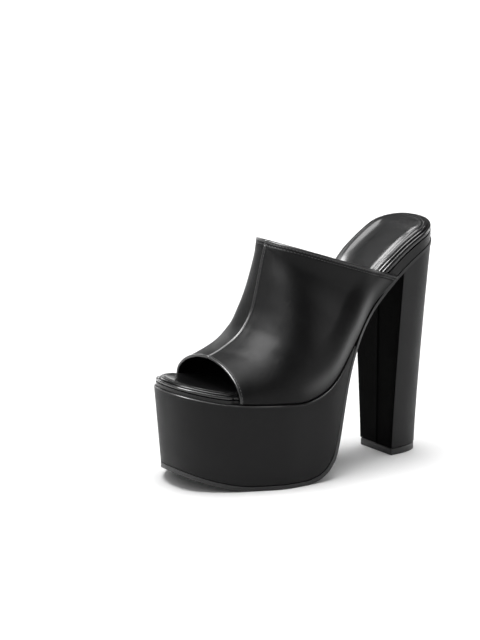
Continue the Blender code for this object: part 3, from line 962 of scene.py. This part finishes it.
def upper_sheet(side):
    """Grid over one half with the distances from toe opening, topline and seam."""
    base = upper_half(side)
    lines = []
    from_seam = []
    for row in base:
        line, at = resample(row, lambda length: spread(FOOT_STEPS, SHEET_COLUMNS, SEAM_STEPS, length))
        lines.append(line)
        from_seam.append(at[-1] - at)
    grid = np.array(lines)
    columns = []
    from_toe = []
    from_top = []
    for k in range(grid.shape[1]):
        line, at = resample(grid[:, k], lambda length: spread(EDGE_STEPS, SHEET_ROWS, EDGE_STEPS, length))
        length = at[-1] + EDGE_STEPS[0]
        columns.append(line)
        from_toe.append(at)
        from_top.append(length - at)
    grid = np.stack(columns, axis=1)
    seam = np.repeat(np.mean(from_seam, axis=0)[None, :], grid.shape[0], axis=0)
    return grid, np.stack(from_toe, axis=1), np.stack(from_top, axis=1), seam


def crease_rise(from_seam, from_toe):
    """Soft troughs and ridges where the leather gives over the ball, faded out at their ends."""
    total = 0 * from_seam
    for crease in CREASES:
        start_seam, start_toe = crease["start"]
        run_seam = crease["end"][0] - start_seam
        run_toe = crease["end"][1] - start_toe
        length = math.hypot(run_seam, run_toe)
        ahead = ((from_seam - start_seam) * run_seam + (from_toe - start_toe) * run_toe) / length
        aside = ((from_toe - start_toe) * run_seam - (from_seam - start_seam) * run_toe) / length
        fade = ease(0.5 + np.minimum(ahead, length - ahead) / CREASE_FADE)
        total += crease["rise"] * np.exp(-(aside / crease["width"]) ** 2) * fade
    return total


def make_half(side, name):
    """One half of the upper as a closed wall with folded edges, and its lines of stitches."""
    grid, from_toe, from_top, from_seam = upper_sheet(side)
    normals = surface_normals(grid, side)
    rise = crease_rise(from_seam, from_toe)
    for measure in (from_toe, from_top):
        rise += FOLD_PUFF * np.exp(-((measure - FOLD_RADIUS) / FOLD_PUFF_WIDTH) ** 2)
    rise -= sunk(from_toe, TOE_ROW)
    for row in TOPLINE_ROWS:
        rise -= sunk(from_top, row)
    if side > 0:
        lap = SEAM_LAP * np.clip(1 - from_seam / SEAM_SKIVE, 0, 1)
        fold = np.sqrt(np.clip(1 - (1 - np.clip(from_seam / SEAM_FOLD, 0, 1)) ** 2, 0, 1))
        fold = SEAM_FOLD_FOOT + (1 - SEAM_FOLD_FOOT) * fold
        bead = SEAM_BEAD * np.exp(-((from_seam - SEAM_BEAD_PLACE) / SEAM_FOLD) ** 2)
        rise += (lap + bead) * fold - sunk(from_seam, SEAM_ROW)
    stand = grid[:, :, 2] - feather(along_at(grid[:, :, 1]))
    rise -= UNDER_TUCK * np.clip(1 - stand / UNDER_HEIGHT, 0, 1) ** 2
    wall = UPPER_WALL + WALL_CLOSE * (1 - ease(stand / WALL_CLOSE_HEIGHT))
    outside = grid + normals * rise[:, :, None]
    inside = grid - normals * wall[:, :, None]
    outside[:, 0, 2] = grid[:, 0, 2]
    inside[:, 0, 2] = grid[:, 0, 2]
    rows = grid.shape[0]
    near_edge = np.minimum(from_toe, from_top)
    if side > 0:
        near_edge = np.minimum(near_edge, from_seam)
    worked = np.exp(-(np.maximum(near_edge - FOLD_RADIUS, 0) / BURNISH_WIDTH) ** 2)
    taut = WAIST_SHINE * np.exp(-((stand - WAIST_SHINE_HEIGHT) / WAIST_SHINE_WIDTH) ** 2)
    taut *= ease((WAIST_SHINE_END - along_at(grid[:, :, 1])) / WAIST_SHINE_FADE)
    polish = 1 + np.maximum(worked, taut)
    toe_out = grid[0] - grid[1]
    toe_out /= np.linalg.norm(toe_out, axis=1, keepdims=True)
    top_out = grid[-1] - grid[-2]
    top_out /= np.linalg.norm(top_out, axis=1, keepdims=True)
    points = [outside[i] for i in range(rows)]
    for row, out in ((rows - 1, top_out), (0, toe_out)):
        middle = (outside[row] + inside[row]) / 2
        half = (outside[row] - inside[row]) / 2
        arc = []
        for angle in np.linspace(0, math.pi, FOLD_STEPS + 2)[1:-1]:
            arc.append(middle + half * math.cos(angle) + out * FOLD_RADIUS * math.sin(angle))
        if row:
            points += arc
            points += [inside[i] for i in range(rows - 1, -1, -1)]
        else:
            points += arc[::-1]
    ring = np.stack(points, axis=1)
    count = ring.shape[1]
    finish = np.full(ring.shape[:2], 2.0)
    finish[:, :rows] = polish.T
    last = rows + FOLD_STEPS
    finish[:, last:last + rows] = 1
    faces = ring_faces(ring.shape[0], count)
    for c in (0, ring.shape[0] - 1):
        a = c * count
        for i in range(rows - 1):
            faces.append((a + i, a + i + 1, a + last + rows - 2 - i, a + last + rows - 1 - i))
        faces.append([a + i for i in range(rows - 1, last + 1)])
        faces.append([a + i for i in range(last + rows - 1, count)] + [a])
    points = ring.reshape(-1, 3)
    piece = mesh_piece(name, points, faces, UPPER_LEATHER, 50, finish.ravel())
    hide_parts("upper")
    return outside, normals, from_toe, from_top, from_seam


UPPER_LEATHER = burnish(leather_finish(
    "upper_leather_black", UPPER_COLOUR, roughness=0.40, coat=0.04, specular=0.10,
))
outer_half = make_half(1, "upper_outer_half")
inner_half = make_half(-1, "upper_inner_half")


def row_near(half, which, distance):
    """Line over a half at a distance from its toe opening or its topline."""
    both = np.concatenate(half[:2], axis=2)
    measure = half[which]
    found = []
    for k in range(both.shape[1]):
        order = np.argsort(measure[:, k])
        found.append([np.interp(distance, measure[order, k], both[order, k, axis]) for axis in range(6)])
    found = np.array(found)
    ups = found[:, 3:]
    return found[:, :3] + ups * STITCH_RAISE, ups


def across_both(which, distance):
    """Line from the outer feather line over the seam to the inner one."""
    outer_line, outer_ups = row_near(outer_half, which, distance)
    inner_line, inner_ups = row_near(inner_half, which, distance)
    line = np.concatenate([outer_line[1:], inner_line[-2:0:-1]])
    return line, np.concatenate([outer_ups[1:], inner_ups[-2:0:-1]])


TOE, TOP, SEAM = 2, 3, 4
sew("topline_stitches", [across_both(TOP, row) for row in TOPLINE_ROWS])
sew("toe_stitches", [across_both(TOE, TOE_ROW)])
seam_column = int(np.argmin(np.abs(outer_half[SEAM][0] - SEAM_ROW)))
seam_ups = outer_half[1][3:-3, seam_column]
seam_line = outer_half[0][3:-3, seam_column] + seam_ups * STITCH_RAISE
sew("seam_stitches", [(seam_line, seam_ups)])

# HEEL
# A moulded block, wide under the seat and narrower at the floor, with a flat breast.
# Leather is wrapped round it from the back and closed on a lapped seam up the breast.
HEEL_FOOT_WIDTH = 0.0360
HEEL_FOOT_DEPTH = 0.0291
HEEL_FOOT_POWER = 2.6
HEEL_SWEEP = 1.2
HEEL_TOP_INSET = 0.0003
TIP_THICKNESS = 0.0050
TIP_INSET = 0.0003
HEEL_STEPS = 49
BREAST_CORNER = 0.0009
CORNER_STEPS = 6
BREAST_STRIP = 0.0015
BREAST_LAP = 0.0004
BREAST_SECTION = ((0.0, 1.0), (0.6, 1.0), (0.9, 0.9), (1.0, 0.4), (1.1, 0.0), (1.5, 0.0))
TIP_GROOVE = 0.0004
TIP_GROOVE_LEVEL = 0.004
HEEL_COLOUR = (0.0065, 0.0065, 0.0068)
# Painted shade on the heel's breast: its colour is darkened to this share, and its specular level drops to
# the one below.
BREAST_PAINTED_SHADE = 0.15
DULL_GLOSS = 0.01
BREAST_Y = SHOE_LENGTH / 2 - HEEL_BREAST
FOOT_MIDDLE_Y = BREAST_Y + HEEL_FOOT_DEPTH / 2


def heel_side(shares, level):
    """Half width and place of the heel at shares of its depth, from the breast to the back."""
    top_y = BREAST_Y + (HEEL_BREAST - HEEL_TOP_INSET) * shares
    top_x = edge(np.arccos(1 - 2 * along_at(top_y)), 1, HEEL_TOP_INSET)[0]
    top_x = np.where(shares < 1, top_x, 0)
    foot_y = BREAST_Y + HEEL_FOOT_DEPTH * shares
    foot_x = HEEL_FOOT_WIDTH / 2 * (1 - shares ** HEEL_FOOT_POWER) ** (1 / HEEL_FOOT_POWER)
    sweep = level ** HEEL_SWEEP
    return foot_x + (top_x - foot_x) * sweep, foot_y + (top_y - foot_y) * sweep


def heel_ring(level, height, shrink):
    """Closed outline of the heel at one level, from the middle of the breast round and back."""
    shares = np.sin(math.pi / 2 * np.linspace(0, 1, HEEL_STEPS))
    x, y = heel_side(shares, level)
    x = x * shrink
    y = FOOT_MIDDLE_Y + (y - FOOT_MIDDLE_Y) * shrink
    z = height(shares, level)
    corner = np.array([x[0], y[0], z[0]])
    before = corner - np.array([BREAST_CORNER, 0, 0])
    along = np.array([x[1] - x[0], y[1] - y[0], z[1] - z[0]])
    after = corner + along / np.linalg.norm(along) * BREAST_CORNER
    half = []
    for across, rise in BREAST_SECTION:
        half.append(np.array([BREAST_STRIP * across, y[0] - BREAST_LAP * rise, z[0]]))
    half += [np.array([before[0] * share, y[0], z[0]]) for share in (0.5, 0.75)]
    for t in np.linspace(0, 1, CORNER_STEPS):
        half.append(before * (1 - t) ** 2 + corner * 2 * t * (1 - t) + after * t * t)
    half += [np.array(point) for point in list(zip(x, y, z))[2:]]
    return half + [point * np.array([-1, 1, 1]) for point in half[-2:0:-1]]


def heel_height(shares, level):
    """Height of the heel's side at a level, up to the underside of the sole at the top."""
    top_y = BREAST_Y + (HEEL_BREAST - HEEL_TOP_INSET) * shares
    place = along_at(top_y)
    top = sole_bottom(place) - lift(place, GAP)
    foot = TIP_THICKNESS + GAP
    return foot + level * (top - foot)


def stack_piece(name, rings, material, polish=None):
    """Closed piece from outlines one over the other, filled across at both ends."""
    count = len(rings[0])
    faces = ring_faces(len(rings), count)
    for r in (0, len(rings) - 1):
        a = r * count
        for i in range(1, count // 2):
            k = count - i
            if i + 1 == k - 1:
                faces.append((a + i, a + i + 1, a + k))
            else:
                faces.append((a + i, a + i + 1, a + k - 1, a + k))
        faces.append((a, a + 1, a + count - 1))
    points = np.array(rings).reshape(-1, 3)
    return mesh_piece(name, points, faces, material, 40, polish)


heel_levels = np.concatenate([[0, TIP_GROOVE_LEVEL, 0.01], np.linspace(0.03, 0.97, 34), [0.985, 1.0]])
heel_rings = []
for level in heel_levels:
    pull = 1 - 2 * TIP_GROOVE / HEEL_FOOT_DEPTH * max(0, 1 - level / TIP_GROOVE_LEVEL)
    heel_rings.append(heel_ring(level, heel_height, pull))
# The heel's breast gets polish 0: dull, and darkened with painted shade.
on_breast = np.array(heel_rings)[:, :, 1] < BREAST_Y + BREAST_CORNER / 2
breast_polish_and_shade = np.where(on_breast, 0.0, 1.0)


def dull_with_painted_shade(material):
    """Takes a leather's gloss away and darkens its colour with painted shade where the piece's polish is 0.
    """
    tree = material.node_tree
    shader = tree.nodes["Principled BSDF"]
    polish = add_node(tree, "ShaderNodeAttribute", attribute_name="polish")
    coating = ranged(tree, (0.0, 1.0), (0.0, shader.inputs["Coat Weight"].default_value))
    mirror = ranged(tree, (0.0, 1.0), (DULL_GLOSS, shader.inputs["Specular IOR Level"].default_value))
    dye = shader.inputs["Base Color"].links[0].from_socket
    painted_shade = ranged(tree, (0.0, 1.0), (BREAST_PAINTED_SHADE, 1.0))
    shaded_dye = add_node(tree, "ShaderNodeVectorMath", operation="SCALE")
    link = tree.links.new
    for share in (coating, mirror, painted_shade):
        link(polish.outputs["Fac"], share.inputs["Value"])
    link(coating.outputs["Result"], shader.inputs["Coat Weight"])
    link(mirror.outputs["Result"], shader.inputs["Specular IOR Level"])
    link(dye, shaded_dye.inputs[0])
    link(painted_shade.outputs["Result"], shaded_dye.inputs["Scale"])
    link(shaded_dye.outputs["Vector"], shader.inputs["Base Color"])
    return material


# The heel leather is dull on the breast, with painted shade darkening its colour there.
heel = stack_piece(
    "heel_cover",
    heel_rings,
    dull_with_painted_shade(leather_finish(
        "heel_leather_black", HEEL_COLOUR, roughness=0.46, coat=0.05,
        grain=0.4, pebble=1300.0, soft=0.0003, specular=0.16,
    )),
    breast_polish_and_shade.ravel(),
)
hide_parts("heel")

# HEEL TIP
# A slice of hard black rubber nailed under the heel, cut a touch smaller than it.
TIP_ROUND = 0.0004
TIP_ROUND_STEPS = 5
TIP_SHARES = (0.3, 0.6)
TIP_TOP_EDGE = ((0.0004, 0), (0.0001, 0.0002), (0, 0.0005))
TIP_COLOUR = (0.016, 0.016, 0.016)


def tip_ring(height, inset):
    """Outline of the heel tip at one height."""
    shrink = 1 - 2 * (TIP_INSET + inset) / HEEL_FOOT_DEPTH
    ring = heel_ring(0.0, lambda shares, level: height + 0 * shares, shrink)
    front = FOOT_MIDDLE_Y - HEEL_FOOT_DEPTH / 2 * shrink
    return [np.array([x, max(y, front), z]) for x, y, z in ring]


tip_rings = []
for angle in np.linspace(0, math.pi / 2, TIP_ROUND_STEPS):
    tip_rings.append(tip_ring(TIP_ROUND * (1 - math.sin(angle)), TIP_ROUND * (1 - math.cos(angle))))
tip_rings = tip_rings[::-1]
tip_rings += [tip_ring(TIP_THICKNESS * share, 0) for share in TIP_SHARES]
tip_rings += [tip_ring(TIP_THICKNESS - down, inset) for down, inset in TIP_TOP_EDGE]
heel_tip = stack_piece(
    "heel_tip_rubber",
    tip_rings,
    rubber_finish("tip_rubber_black", TIP_COLOUR, roughness=0.42, grain=2200.0, relief=0.00008),
)
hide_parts("heel_tip")

# STUDIO
# A white paper sheet under one large soft light and an even fill. Three more soft lights only
# show in the gloss of the leather: before the toe, beyond the inner side and behind the heel.
FLOOR_REACH = 6.0
IMAGE_HEIGHT = 640
SENSOR = 36
AZIMUTH = 55.355
ELEVATION = 12.932
DISTANCE = 1.6913
LOOK_AT = np.array([-0.069835, 0.0, 0.089562]) + SHIFT
FOCAL_PIXELS = 2401.8


def studio_floor():
    """White sheet that lies under the shoe."""
    mesh = bpy.data.meshes.new("floor_sheet")
    corners = [(x * FLOOR_REACH, y * FLOOR_REACH, 0) for x, y in ((-1, -1), (1, -1), (1, 1), (-1, 1))]
    mesh.from_pydata(corners, [], [(0, 1, 2, 3)])
    material = bpy.data.materials.new("white_paper")
    material.use_nodes = True
    shader = material.node_tree.nodes["Principled BSDF"]
    shader.inputs["Base Color"].default_value = (0.92, 0.92, 0.92, 1)
    shader.inputs["Roughness"].default_value = 0.7
    mesh.materials.append(material)
    sheet = bpy.data.objects.new("floor_sheet", mesh)
    bpy.context.scene.collection.objects.link(sheet)


def place_at(name, data, azimuth, elevation, distance=1.0, look_at=(0, 0, 0)):
    """Places a light or a camera in a direction round the shoe, turned to look at it."""
    a = math.radians(azimuth)
    e = math.radians(elevation)
    toward = Vector((math.sin(a) * math.cos(e), -math.cos(a) * math.cos(e), math.sin(e)))
    placed = bpy.data.objects.new(name, data)
    bpy.context.scene.collection.objects.link(placed)
    placed.rotation_mode = "QUATERNION"
    placed.rotation_quaternion = toward.to_track_quat("Z", "Y")
    placed.location = Vector(look_at) + toward * distance
    return placed


def soft_sun(name, azimuth, elevation, spread, strength, diffuse=True, gloss=True):
    """Broad soft light, for its diffuse light, its gloss or both."""
    light = bpy.data.lights.new(name, "SUN")
    light.angle = math.radians(spread)
    light.energy = strength
    lamp = place_at(name, light, azimuth, elevation)
    lamp.visible_diffuse = diffuse
    lamp.visible_glossy = gloss


studio_floor()
soft_sun("overhead_light", azimuth=-60, elevation=86, spread=40, strength=3.4)
soft_sun("fill_light", azimuth=0, elevation=90, spread=170, strength=0.9, gloss=False)
soft_sun("front_glint", azimuth=-15, elevation=47, spread=40, strength=9.8, diffuse=False)
soft_sun("wall_glint", azimuth=-100, elevation=18, spread=18, strength=0.37, diffuse=False)
soft_sun("back_glint", azimuth=168, elevation=5, spread=30, strength=0.8, diffuse=False)
world = bpy.data.worlds.new("studio")
world.use_nodes = True
world.node_tree.nodes["Background"].inputs["Color"].default_value = (1, 1, 1, 1)
world.node_tree.nodes["Background"].inputs["Strength"].default_value = 0.16
bpy.context.scene.world = world
bpy.context.scene.view_settings.view_transform = "Standard"

camera_data = bpy.data.cameras.new("camera")
camera_data.sensor_fit = "VERTICAL"
camera_data.sensor_height = SENSOR
camera_data.sensor_width = SENSOR
camera_data.lens = SENSOR * FOCAL_PIXELS / IMAGE_HEIGHT
bpy.context.scene.camera = place_at("camera", camera_data, AZIMUTH, ELEVATION, DISTANCE, LOOK_AT)
